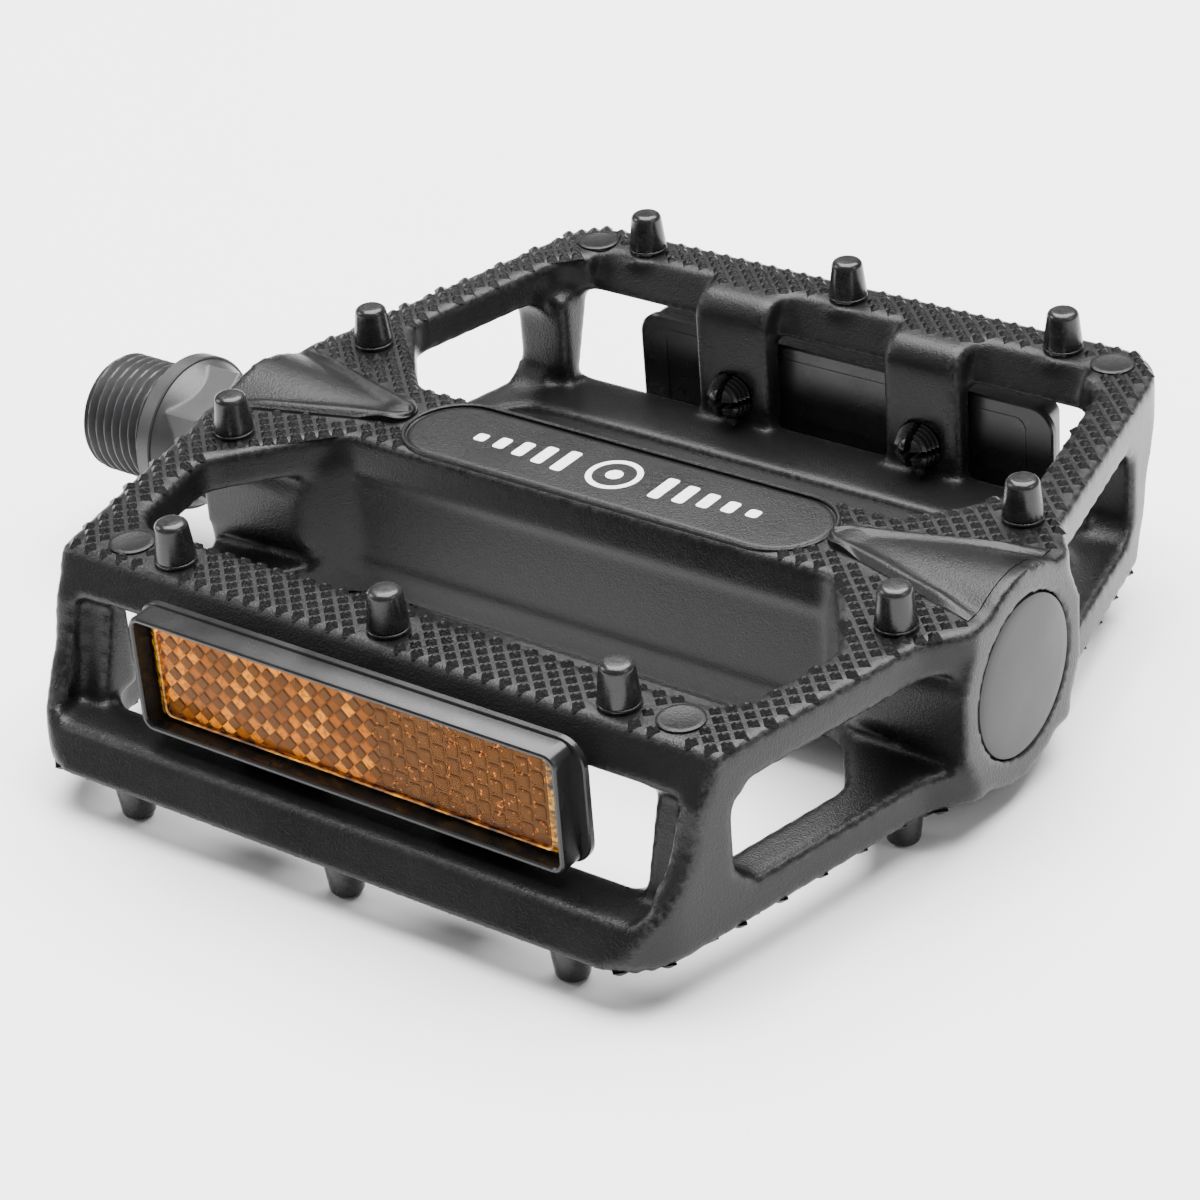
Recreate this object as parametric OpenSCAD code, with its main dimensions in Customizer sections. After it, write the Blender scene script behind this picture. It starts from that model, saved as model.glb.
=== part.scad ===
// Flat pedal for a bicycle: a cast platform that turns on a crank spindle.
// Origin: on the spindle axis, at the shoulder that seats against the crank.
// +X runs along the spindle to the outboard end, +Z is up, -Y is the front.
// The platform is unchanged by half a turn about the spindle axis.

/* [Platform] */
// Length of the platform along the spindle, hub face to hub face
platform_l = 101.6; // [90:0.1:125]
// Overall fore-and-aft width of the platform
platform_w = 105.2; // [98:0.1:130]
// Thickness of the platform without its pins
platform_t = 20.6; // [18.6:0.1:24.8]
// Distance that each set-back edge lies behind the lip on the other face
lip_shift = 11.8; // [8:0.1:14]
// Length of the straight front and back edges, before their corners are rounded
edge_l = 80; // [66:0.1:90]
// Distance from the hub face back to the arms' outer edges
arm_inset = 2.5; // [1:0.1:4]
// Distance that the frame lies towards the crank from the hub's middle
frame_shift = 1; // [0:0.1:2]
// Radius of the four lip corners in plan
corner_r = 8; // [3:0.1:10]
// Thickness of the top and bottom frames
frame_t = 4.6; // [3.5:0.1:5.5]
// Width of the rails along the set-back edges
rail_w = 7.3; // [6:0.1:9]
// Width of the rails along the lips, at the face
lip_w = 6.1; // [5:0.1:8]
// Extra width of those rails on their inner side
lip_slope_w = 3; // [1:0.1:3.6]
// Width of the arms between corner and hub, along X
arm_w = 5.4; // [4:0.1:7]
// Length of a corner post at the end of each edge
post_l = 4.7; // [3.5:0.1:6]
// Fore-and-aft thickness of a corner post at the lip
post_w = 13.3; // [11:0.1:16]
// Thickness of the side wall in front of a corner post
post_wall = 2.8; // [2:0.1:3.6]
// Radius of the windows' corners beside the posts
arm_window_r = 3.5; // [1:0.1:5]
// Wall of the centre spar beside its bore
spar_wall = 1; // [0.8:0.1:2]

/* [Hub] */
// Wall around the inboard bearing cup
hub_wall = 3; // [2.4:0.1:4]
// Depth by which the hub's front and back are flatter than its barrel
hub_flat = 0.6; // [0:0.1:1.5]
// Clearance between the spar's bore and the shaft
bore_gap = 0.8; // [0.4:0.1:1.2]
// Length of the seal between hub face and bearing
seal_l = 2.2; // [1.5:0.1:3]
// Width of the ledge that the dust cap seats on
cap_ledge = 0.58; // [0.4:0.01:0.9]
// Thickness of the dust cap's rim
cap_t = 1.9; // [1.5:0.1:2.5]

/* [Spindle] */
// Major diameter of the crank thread
thread_d = 14.29; // [11.9:0.01:14.29]
// Length of the crank thread
thread_l = 11.2; // [9.3:0.1:16]
// Height of the shoulder above the corners' across-flats distance
collar_step = 1.8; // [1.4:0.1:2.5]
// Thickness of the shoulder that seats on the crank
collar_l = 2; // [1.5:0.1:3]
// Distance across the wrench flats
wrench_af = 15; // [14:0.1:18]
// Length of the wrench flats
wrench_l = 6.6; // [5:0.1:8]
// Length of bare journal between the wrench flats and the hub face
journal_l = 3.7; // [1:0.1:6]
// Radius of the journal under the seal
journal_r = 6; // [5:0.1:7.2]
// Radius of the shaft inside the spar
shaft_r = 4.8; // [4:0.01:5.8]
// Radius of the thread under the adjusting cone
cone_thread_r = 3.5; // [2.9:0.1:4.2]

/* [Bearings] */
// Diameter of a bearing ball
ball_d = 3.175; // [2.645:0.005:3.81]
// Wall of a bearing cup outside its balls
cup_wall = 1; // [0.8:0.1:1.4]
// Wall of the adjusting cone between its thread and its race
cone_wall = 0.55; // [0.45:0.05:0.9]

/* [Pins] */
// Height of a traction pin above the platform
pin_h = 4.9; // [3:0.1:8]
// Diameter of a pin at its foot
pin_foot_d = 4.5; // [3.7:0.1:5.4]
// Diameter of a pin at its tip
pin_tip_d = 3.7; // [2.5:0.1:4.4]
// Distance of a row's last pin from the end of the straight edge
row_end_in = 11.25; // [8:0.05:16]
// Distance of a row from the set-back edge
row_in = 3; // [2.6:0.1:4]
// Distance of a row from the lip
lip_row_in = 4; // [2.6:0.1:5]
// Distance of the hub pins from the hub face
side_pin_in = 7.3; // [5:0.1:9]
// Distance across the spindle from the bearing cup to a hub pin
side_pin_out = 3.3; // [3:0.1:5]

/* [Reflectors] */
// Gap between a corner post and the end of a reflector
reflector_end_gap = 6.6; // [4:0.1:9]
// Gap between a lip and the reflector beside it
reflector_gap = 1.4; // [0.2:0.1:2.5]
// Distance of a reflector from the plane of the other face
reflector_face_gap = 0.2; // [0.1:0.1:2]
// Depth of the housing in front of its back plate
reflector_d = 2.9; // [2.4:0.1:4]
// Thickness of the housing's back plate
back_t = 1; // [0.8:0.1:1.4]
// Thickness of the housing's rim
rim_t = 0.7; // [0.5:0.1:1]
// Spacing of the mounting ribs
rib_pitch = 26.2; // [20:0.1:34]
// Width of a mounting rib
rib_w = 10; // [8:0.1:12]
// Thickness of a mounting rib
rib_t = 3.2; // [2.6:0.1:3.6]
// Diameter of a reflector's mounting studs
stud_d = 4.8; // [3.5:0.1:5.7]

/* [Hidden] */
$fn = 64;
cut = 1;
fit_gap = 0.02;
running_gap = 0.06;
ball_gap = 0.1;
clear = 0.3;

half_l = platform_l / 2;
half_w = platform_w / 2;
half_t = platform_t / 2;
set_y = half_w - lip_shift;
frame_z = half_t - frame_t;
flat_y = 9.5;
arm_start_y = 14;
taper = (half_l - arm_inset - edge_l / 2) / (half_w - arm_start_y);
post_y = half_w - post_w;
window_l = edge_l - 2 * post_l;
lip_root_y = half_w - lip_w - lip_slope_w;
post_face_y = post_y + 2.5;
post_slope = 3.2;
scoop = 1;
scoop_r = 17;

// Radii of the outline's corners at the hub face and at the arms' roots
end_corner_r = 2;
root_corner_r = 4;

// Radii of the openings' corners: beside the edge, at the arm's root, at the hub
edge_corner_r = 5;
arm_corner_r = 4;
hub_corner_r = 6;

// Bearings: the ball circles clear the shaft and the cone's thread
ball_r = ball_d / 2;
race_r = ball_r + ball_gap;
cup_lip = 0.85;
nose_gap = 0.35;
inboard_pitch_r = shaft_r + cup_lip + nose_gap + 0.6;
outboard_pitch_r = cone_thread_r + cone_wall + race_r;
inboard_seat_r = inboard_pitch_r + ball_r + cup_wall;
outboard_seat_r = outboard_pitch_r + ball_r + cup_wall;
cup_l = 4;
cone_l = 4.2;
cone_nose = 1.2;
washer_t = 0.8;
locknut_t = 3;
locknut_af = 2 * cone_thread_r + 4;
key_w = 1.6;
key_d = 0.8;
end_gap = 1.1;

// Places along the hub, measured from its middle
cap_x = half_l - cap_t;
stub_x = cap_x - end_gap;
cone_end_x = stub_x - locknut_t - washer_t;
ball_x = cone_end_x - cone_l + cone_nose;
seat_x = ball_x + 1 - cup_l;

// Hub: the blocks widen from the spar to the end faces
hub_r = inboard_seat_r + hub_wall;
hub_w = 2 * (hub_r - hub_flat);
bore_r = shaft_r + bore_gap;
spar_y = bore_r + spar_wall;
throat_x = seat_x - 5.5;
shoulder_x = seat_x - 1;
shoulder_y = outboard_seat_r + 2.6;
arm_root_y = 19;
cone_tip_x = seat_x - 12;
spar_bulge = 0.8;
spar_web = 0.4;
spar_chamfer = 0.5;

// Depth of the seal below the hub face
seal_in = 0.2;

// Dust cap
cap_r = outboard_seat_r + cap_ledge;
dome_h = 0.5;
dome_steps = 6;
dome_r = (cap_r * cap_r + dome_h * dome_h) / (2 * dome_h);
spigot_r = outboard_seat_r - 0.1;
spigot_wall = 1.1;
spigot_l = 2.2;

// Spindle, measured from the crank shoulder
thread_r = thread_d / 2;
thread_chamfer = 0.9;
collar_r = wrench_af / 2 + collar_step;
wrench_turn = 17;
journal_x = collar_l + wrench_l;
hub_x = journal_x + journal_l + half_l;
flange_l = 3.6;
flange_x = hub_x - ball_x - flange_l;
cup_mouth = 0.8 * ball_r;
flange_r = inboard_pitch_r + cup_mouth - 0.27;
cone_r = outboard_pitch_r + cup_mouth - 0.6;
nose_x = hub_x - ball_x + cone_nose;
nose_r = inboard_pitch_r - cup_lip - nose_gap;
shaft_end_x = hub_x + seat_x - 7;
shaft_step = 0.6;

// Pins and their seats
row_pitch = edge_l / 2 - row_end_in;
side_pin_x = half_l - side_pin_in;
side_pin_y = inboard_seat_r + side_pin_out;
shank_d = pin_foot_d - 1.1;
shank_l = frame_t - 1;
boss_r = pin_foot_d / 2 + 0.85;
pin_ring_h = 0.5;
pin_crown_h = 0.4;

// Reflectors, drawn for the back; the front one is the same, half a turn on
rib_y = set_y + 0.3;
rib_back_y = rib_y + rib_t;
rib_top_r = 3;
rib_edge_r = 0.2;
plate_y = rib_back_y + 0.1;
rim_front_y = plate_y + back_t + reflector_d;
reflector_l = window_l - 2 * reflector_end_gap;
reflector_top = frame_z - reflector_gap;
reflector_h = reflector_top + half_t - reflector_face_gap;
reflector_z = reflector_top - reflector_h / 2;
stud_z = reflector_z + 0.9;
rim_step = 1.1;
rim_r = 1.5;
lens_gap = 0.1;
lens_t = 1.4;
lens_bevel = 1.2;
lens_corner_r = 0.8;
stud_l = rib_t + 3.2;
stud_slot = 0.9;
barb_step = 0.5;
barb_l = 1.1;
barb_pitch = 1.3;

// Recessed panel on the spar
panel_l = 2 * throat_x - 10;
panel_w = 12;
panel_depth = 0.35;
panel_line = 0.5;

// ---- Outlines ----

// Half-length of the platform's outer edge at a distance y from the spindle
function outer_x(y) = half_l - arm_inset - (y - arm_start_y) * taper;
// Half-length of the openings at a distance y from the spindle
function inner_x(y) = outer_x(y) - arm_w;
function unit(v) = v / norm(v);

// Arc that rounds corner b of the outline a, b, c
function corner_arc(a, b, c, r, steps = 8) =
    let (u = unit(a - b), v = unit(c - b), half = acos(u * v) / 2,
         centre = b + unit(u + v) * r / sin(half),
         from = b + u * r / tan(half) - centre,
         to = b + v * r / tan(half) - centre,
         start = atan2(from.y, from.x),
         turn = (atan2(to.y, to.x) - start + 540) % 360 - 180)
    [for (i = [0 : steps]) centre + r * [cos(start + turn * i / steps), sin(start + turn * i / steps)]];

// Outline with each corner rounded by its own radius
function rounded(points, radii) =
    let (n = len(points))
    [for (i = [0 : n - 1])
        each corner_arc(points[(i + n - 1) % n], points[i], points[(i + 1) % n], radii[i])];

module platform_outline() {
    back = [[half_l, flat_y], [outer_x(arm_start_y) - frame_shift, arm_start_y],
            [edge_l / 2 - frame_shift, half_w], [-edge_l / 2 - frame_shift, half_w],
            [-outer_x(arm_start_y) - frame_shift, arm_start_y], [-half_l, flat_y]];
    front = [for (i = [5 : -1 : 0]) [back[i].x, -back[i].y]];
    radii = [end_corner_r, root_corner_r, corner_r, corner_r, root_corner_r, end_corner_r];
    polygon(rounded(concat(back, front), concat(radii, radii)));
}

// Opening behind the spar that ends at edge_y
module opening_outline(edge_y) {
    edge_x = inner_x(edge_y);
    root_x = inner_x(arm_root_y);
    polygon(rounded(
        [[-edge_x - frame_shift, edge_y], [edge_x - frame_shift, edge_y],
         [root_x - frame_shift, arm_root_y], [throat_x, spar_y],
         [-throat_x, spar_y], [-root_x - frame_shift, arm_root_y]],
        [edge_corner_r, edge_corner_r, arm_corner_r, hub_corner_r, hub_corner_r, arm_corner_r]));
}

module rounded_rect(w, h, r) {
    polygon(rounded([[w / 2, h / 2], [-w / 2, h / 2], [-w / 2, -h / 2], [w / 2, -h / 2]],
                    [r, r, r, r]));
}

// Slot-shaped outline along X
module stadium(length, width) {
    square([length - width, width], center = true);
    for (side = [-1, 1])
        translate([side * (length - width) / 2, 0]) circle(d = width);
}

// ---- Placement ----

module at_hub() { translate([hub_x, 0, 0]) children(); }

// Turns an outline in x and r about the spindle axis
module turned() { rotate([90, 0, 90]) rotate_extrude() children(); }

// Solid of revolution from points given as [x, radius]
module lathe(points) { turned() polygon([for (p = points) [p.y, p.x]]); }

module rod(x0, x1, r) { translate([x0, 0, 0]) rotate([0, 90, 0]) cylinder(h = x1 - x0, r = r); }

module half_turn() { rotate([180, 0, 0]) children(); }

module both_faces() {
    children();
    half_turn() children();
}

// ---- Body ----

// Everything that lies between the slanting front and back of the platform
module envelope() {
    intersection() {
        translate([0, 0, -half_t]) linear_extrude(platform_t) platform_outline();
        rotate([90, 0, 90]) linear_extrude(platform_l + 2 * cut, center = true)
            polygon([[half_w, half_t], [-set_y, half_t], [-half_w, -half_t], [set_y, -half_t]]);
    }
}

module openings() {
    opening_outline(lip_root_y);
    mirror([0, 1]) opening_outline(set_y - rail_w);
}

module top_frame() {
    difference() {
        intersection() {
            envelope();
            translate([-half_l - cut, -half_w - cut, frame_z])
                cube([platform_l + 2 * cut, platform_w + 2 * cut, frame_t + cut]);
        }
        translate([0, 0, frame_z - cut]) linear_extrude(frame_t + 2 * cut) openings();
        lip_slope();
    }
}

// Slanting inner side of a lip's rail
module lip_slope() {
    lip_y = half_w - lip_w;
    end_x = inner_x(lip_y) - 2;
    translate([-frame_shift, 0, 0]) rotate([90, 0, 90]) linear_extrude(2 * end_x, center = true)
        polygon([[lip_root_y - cut, frame_z], [lip_root_y, frame_z], [lip_y, half_t],
                 [lip_y, half_t + cut], [lip_root_y - cut, half_t + cut]]);
}

// Pocket in front of a corner post, beside the thinner side wall
module post_pocket() {
    wall_y = half_w + cut;
    intersection() {
        linear_extrude(2 * frame_z, center = true)
            polygon([[0, post_y], [outer_x(post_y) - post_wall, post_y],
                     [outer_x(wall_y) - post_wall, wall_y], [0, wall_y]]);
        rotate([90, 0, 90]) linear_extrude(half_l)
            polygon([[post_face_y, -frame_z], [post_face_y + post_slope, frame_z],
                     [wall_y, frame_z], [wall_y, -frame_z]]);
    }
}

// Hollow that curves the slanting front of a side wall inwards
module wall_scoop() {
    middle_y = (half_w + set_y) / 2;
    slope = atan2(lip_shift, platform_t);
    reach = scoop_r - scoop;
    translate([0, middle_y + reach * cos(slope), -reach * sin(slope)])
        rod(-half_l, half_l, scoop_r);
}

module corner_posts() {
    post_h = 2 * (frame_z + fit_gap);
    difference() {
        intersection() {
            envelope();
            for (x = [-1, 1], y = [-1, 1])
                translate([x * (window_l + half_l) / 2 - frame_shift, y * (post_y + half_w) / 2, 0])
                    cube([half_l, half_w - post_y, post_h], center = true);
        }
        translate([-frame_shift, 0, 0]) for (end = [0, 1]) mirror([end, 0, 0])
            both_faces() post_pocket();
        both_faces() intersection() {
            wall_scoop();
            cube([2 * platform_l, 2 * platform_w, 2 * frame_z], center = true);
        }
    }
}

// Rounded ends of the windows through the arms, beside the posts
module arm_window_corners() {
    start_y = post_y - arm_window_r;
    difference() {
        for (y = [-1, 1])
            translate([0, y * (start_y + post_y + fit_gap) / 2, 0])
                cube([platform_l, arm_window_r + fit_gap, 2 * (frame_z + fit_gap)], center = true);
        rotate([90, 0, 90]) linear_extrude(platform_l + 2 * cut, center = true)
            rounded_rect(2 * post_y, 2 * frame_z, arm_window_r);
        translate([0, 0, -half_t]) linear_extrude(platform_t) {
            openings();
            mirror([0, 1]) openings();
        }
        linear_extrude(platform_t, center = true) difference() {
            square([2 * platform_l, 2 * platform_w], center = true);
            platform_outline();
        }
    }
}

module spar() {
    web_y = spar_y + spar_web;
    foot_y = spar_y + spar_bulge;
    web_z = frame_z - spar_chamfer;
    side = [[spar_y, half_t], [foot_y, frame_z], [web_y, web_z],
            [web_y, -web_z], [foot_y, -frame_z], [spar_y, -half_t]];
    rotate([90, 0, 90]) linear_extrude(2 * throat_x, center = true)
        polygon(concat(side, [for (p = side) -p]));
}

module hub_ends() {
    for (end = [0, 1]) mirror([end, 0, 0]) intersection() {
        translate([cone_tip_x, 0, 0]) rotate([0, 90, 0])
            cylinder(h = half_l - cone_tip_x, r1 = half_t, r2 = hub_r);
        translate([0, 0, -hub_r]) linear_extrude(2 * hub_r) polygon([
            [cone_tip_x, -spar_y], [throat_x - 2, -spar_y], [shoulder_x, -shoulder_y],
            [half_l, -hub_w / 2], [half_l, hub_w / 2], [shoulder_x, shoulder_y],
            [throat_x - 2, spar_y], [cone_tip_x, spar_y]]);
    }
}

// Ribs that carry a reflector: a tab from the lip down to the set-back rail
module ribs() {
    foot_y = half_w - lip_w + cut;
    profile = rounded([[rib_y, half_t], [foot_y, half_t], [foot_y, frame_z],
                       [rib_back_y, frame_z], [rib_back_y, -half_t], [rib_y, -half_t]],
                      [rib_top_r, rib_edge_r, rib_edge_r, rib_edge_r, rib_edge_r, rib_edge_r]);
    intersection() {
        envelope();
        for (side = [-1, 1])
            translate([side * rib_pitch / 2, 0, 0]) rotate([90, 0, 90])
                linear_extrude(rib_w, center = true) polygon(profile);
    }
}

module pin_bosses() {
    intersection() {
        envelope();
        for (group = [0 : 3]) for (p = pin_places(group))
            translate([p.x, p.y, frame_z]) cylinder(h = frame_t, r = boss_r);
    }
}

module pin_holes() {
    for (group = [0 : 3]) for (p = pin_places(group))
        translate([p.x, p.y, half_t - shank_l - fit_gap])
            cylinder(h = shank_l + cut, r = shank_d / 2 + fit_gap);
}

module stud_holes() {
    for (side = [-1, 1])
        translate([side * rib_pitch / 2, rib_y - cut, stud_z]) rotate([-90, 0, 0])
            cylinder(h = rib_t + 2 * cut, r = stud_d / 2 + fit_gap);
}

module panel_recess() {
    translate([0, 0, half_t - panel_depth]) linear_extrude(panel_depth + cut)
        stadium(panel_l, panel_w);
    translate([0, 0, half_t - 2 * panel_depth]) linear_extrude(panel_depth + cut) difference() {
        stadium(panel_l, panel_w);
        stadium(panel_l - 2 * panel_line, panel_w - 2 * panel_line);
    }
}

module hub_bores() {
    rod(-half_l - cut, -seat_x, inboard_seat_r);
    rod(-seat_x - cut, seat_x + cut, bore_r);
    rod(seat_x, half_l, outboard_seat_r);
    rod(cap_x, half_l + cut, cap_r + clear / 3);
}

module body() {
    color([0.09, 0.09, 0.1]) at_hub() difference() {
        union() {
            both_faces() {
                top_frame();
                ribs();
                pin_bosses();
            }
            corner_posts();
            arm_window_corners();
            spar();
            hub_ends();
        }
        both_faces() {
            pin_holes();
            stud_holes();
            panel_recess();
        }
        hub_bores();
    }
}

// ---- Spindle and bearings ----

module race(x, pitch_r) { translate([pitch_r, x]) circle(r = race_r); }

module spindle() {
    color([0.13, 0.13, 0.14]) difference() {
        union() {
            lathe([[-thread_l, 0], [-thread_l, thread_r - thread_chamfer],
                   [thread_chamfer - thread_l, thread_r], [0, thread_r], [0, collar_r],
                   [collar_l, collar_r], [collar_l, 0]]);
            intersection() {
                translate([collar_l, 0, 0]) rotate([wrench_turn, 0, 0]) rotate([0, 90, 0])
                    cylinder(h = wrench_l, d = wrench_af / cos(30), $fn = 6);
                lathe([[collar_l, 0], [collar_l, collar_r], [journal_x - 1, collar_r],
                       [journal_x, max(wrench_af / 2 - 0.4, journal_r)], [journal_x, 0]]);
            }
            turned() difference() {
                polygon([for (p = [[journal_x, 0], [journal_x, journal_r],
                                   [flange_x, journal_r], [flange_x, flange_r],
                                   [hub_x - ball_x, flange_r], [hub_x - ball_x, nose_r],
                                   [nose_x, nose_r], [nose_x, shaft_r],
                                   [shaft_end_x, shaft_r - shaft_step],
                                   [shaft_end_x + 1, cone_thread_r],
                                   [hub_x + stub_x, cone_thread_r], [hub_x + stub_x, 0]])
                         [p.y, p.x]]);
                race(hub_x - ball_x, inboard_pitch_r);
            }
        }
        translate([hub_x + ball_x, -key_w / 2, cone_thread_r - key_d])
            cube([stub_x, key_w, key_d + cut]);
    }
}

module inboard_seal() {
    color([0.05, 0.05, 0.05]) at_hub() difference() {
        rod(seal_in - half_l, seal_in - half_l + seal_l, inboard_seat_r - fit_gap);
        rod(-half_l - cut, seal_l + cut - half_l, journal_r + running_gap);
    }
}

// Cup whose race opens towards the end of the hub
module cup(seat_r, pitch_r) {
    turned() difference() {
        translate([pitch_r - cup_lip, seat_x + fit_gap])
            square([seat_r - fit_gap - pitch_r + cup_lip, cup_l - fit_gap]);
        race(ball_x, pitch_r);
        translate([0, ball_x]) square([pitch_r + cup_mouth, cup_l]);
    }
}

// As many separate balls as the circle holds
module balls(pitch_r) {
    count = floor(180 / asin((ball_r + ball_gap / 2) / pitch_r));
    for (i = [0 : count - 1])
        rotate([i * 360 / count, 0, 0]) translate([ball_x, 0, pitch_r]) sphere(r = ball_r);
}

module inboard_cup() {
    color([0.55, 0.55, 0.57]) at_hub() mirror([1, 0, 0]) cup(inboard_seat_r, inboard_pitch_r);
}

module inboard_balls() {
    color([0.75, 0.75, 0.77]) at_hub() mirror([1, 0, 0]) balls(inboard_pitch_r);
}

module outboard_cup() {
    color([0.55, 0.55, 0.57]) at_hub() cup(outboard_seat_r, outboard_pitch_r);
}

module outboard_balls() {
    color([0.75, 0.75, 0.77]) at_hub() balls(outboard_pitch_r);
}

module adjusting_cone() {
    nose_top = outboard_pitch_r - cup_lip - nose_gap;
    bore = cone_thread_r + fit_gap;
    color([0.6, 0.6, 0.62]) at_hub() turned() difference() {
        polygon([[bore, cone_end_x - cone_l], [nose_top, cone_end_x - cone_l],
                 [nose_top, ball_x], [cone_r, ball_x], [cone_r, cone_end_x], [bore, cone_end_x]]);
        race(ball_x, outboard_pitch_r);
    }
}

module keyed_washer() {
    color([0.6, 0.6, 0.62]) at_hub() {
        difference() {
            rod(cone_end_x + fit_gap, cone_end_x + washer_t - fit_gap, outboard_pitch_r - 0.2);
            rod(cone_end_x, cone_end_x + washer_t, cone_thread_r + fit_gap);
        }
        translate([cone_end_x + fit_gap, 0.1 - key_w / 2, cone_thread_r - key_d + 0.1])
            cube([washer_t - 2 * fit_gap, key_w - 0.2, key_d + 0.4]);
    }
}

module locknut() {
    nut_x = cone_end_x + washer_t;
    color([0.6, 0.6, 0.62]) at_hub() difference() {
        translate([nut_x, 0, 0]) rotate([0, 90, 0])
            cylinder(h = locknut_t, d = locknut_af / cos(30), $fn = 6);
        rod(nut_x - cut, nut_x + locknut_t + cut, cone_thread_r + fit_gap);
    }
}

module dust_cap() {
    dome = [for (i = [0 : dome_steps]) let (r = cap_r * (1 - i / dome_steps))
        [half_l + dome_h - dome_r + sqrt(dome_r * dome_r - r * r), r]];
    color([0.12, 0.12, 0.13]) at_hub() {
        lathe(concat([[cap_x + fit_gap, 0], [cap_x + fit_gap, cap_r]], dome));
        difference() {
            rod(cap_x - spigot_l, cap_x + cut, spigot_r);
            rod(cap_x - spigot_l - cut, cap_x + fit_gap, spigot_r - spigot_wall);
        }
    }
}

// ---- Pins ----

// Places of the pins on the top face: front row, back row, inboard pair, outboard pair
function pin_places(group) =
    group == 0 ? [for (i = [-1 : 1]) [i * row_pitch - frame_shift, row_in - set_y]] :
    group == 1 ? [for (i = [-1 : 1]) [i * row_pitch - frame_shift, half_w - lip_row_in]] :
    [for (side = [-1, 1]) [(2 * group - 5) * side_pin_x, side * side_pin_y]];

module pins(group) {
    for (p = pin_places(group)) translate([p.x, p.y, half_t]) {
        translate([0, 0, -shank_l]) cylinder(h = shank_l + pin_ring_h, d = shank_d);
        translate([0, 0, fit_gap]) cylinder(h = pin_ring_h, d = pin_foot_d);
        translate([0, 0, pin_ring_h])
            cylinder(h = pin_h - pin_ring_h - pin_crown_h, d1 = pin_foot_d, d2 = pin_tip_d);
        translate([0, 0, pin_h - pin_crown_h])
            cylinder(h = pin_crown_h, d1 = pin_tip_d, d2 = pin_tip_d - 2 * pin_crown_h);
    }
}

module top_pins(group) { color([0.04, 0.04, 0.04]) at_hub() pins(group); }

module bottom_pins(group) { color([0.04, 0.04, 0.04]) at_hub() half_turn() pins(group); }

module pins_top_front() { top_pins(0); }
module pins_top_back() { top_pins(1); }
module pins_top_inboard() { top_pins(2); }
module pins_top_outboard() { top_pins(3); }
module pins_bottom_front() { bottom_pins(1); }
module pins_bottom_back() { bottom_pins(0); }
module pins_bottom_inboard() { bottom_pins(2); }
module pins_bottom_outboard() { bottom_pins(3); }

// ---- Reflectors ----

// Extrudes an outline in x and z from y0 to y1
module upright(y0, y1) {
    translate([0, y1, reflector_z]) rotate([90, 0, 0]) linear_extrude(y1 - y0) children();
}

module stud() {
    translate([0, plate_y + fit_gap, stud_z]) rotate([90, 0, 0]) difference() {
        union() {
            cylinder(h = stud_l, d = stud_d);
            for (i = [0 : 1])
                translate([0, 0, rib_t + 0.4 + barb_pitch * i])
                    cylinder(h = barb_l, r1 = stud_d / 2 + barb_step, r2 = stud_d / 2 - 0.2);
        }
        translate([0, 0, rib_t + stud_l / 2]) cube([stud_slot, stud_d + 2, stud_l], center = true);
    }
}

module reflector_housing() {
    rim_l = reflector_l - 2 * rim_step;
    difference() {
        union() {
            upright(plate_y, plate_y + back_t) rounded_rect(reflector_l, reflector_h, 2 * rim_r);
            upright(plate_y, rim_front_y) rounded_rect(rim_l, reflector_h, rim_r);
        }
        upright(plate_y + back_t, rim_front_y + cut)
            rounded_rect(rim_l - 2 * rim_t, reflector_h - 2 * rim_t, rim_r - rim_t / 2);
    }
    for (side = [-1, 1]) translate([side * rib_pitch / 2, 0, 0]) stud();
}

module reflector_lens() {
    lens_l = reflector_l - 2 * (rim_step + rim_t + lens_gap);
    lens_h = reflector_h - 2 * (rim_t + lens_gap);
    lens_y = plate_y + back_t + fit_gap;
    hull() {
        upright(lens_y, lens_y + lens_t / 2) rounded_rect(lens_l, lens_h, lens_corner_r);
        upright(lens_y, lens_y + lens_t)
            rounded_rect(lens_l - 2 * lens_bevel, lens_h - lens_bevel, lens_corner_r);
    }
}

module front_reflector_housing() { color([0.03, 0.03, 0.03]) at_hub() half_turn() reflector_housing(); }
module back_reflector_housing() { color([0.03, 0.03, 0.03]) at_hub() reflector_housing(); }
module front_reflector_lens() { color([0.9, 0.5, 0.08]) at_hub() half_turn() reflector_lens(); }
module back_reflector_lens() { color([0.9, 0.5, 0.08]) at_hub() reflector_lens(); }

body();
spindle();
inboard_seal();
inboard_cup();
inboard_balls();
outboard_cup();
outboard_balls();
adjusting_cone();
keyed_washer();
locknut();
dust_cap();
pins_top_front();
pins_top_back();
pins_top_inboard();
pins_top_outboard();
pins_bottom_front();
pins_bottom_back();
pins_bottom_inboard();
pins_bottom_outboard();
front_reflector_housing();
front_reflector_lens();
back_reflector_housing();
back_reflector_lens();
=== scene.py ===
import math

import bmesh
import bpy
import numpy as np
from mathutils import Matrix, Vector
from mathutils.bvhtree import BVHTree


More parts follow.
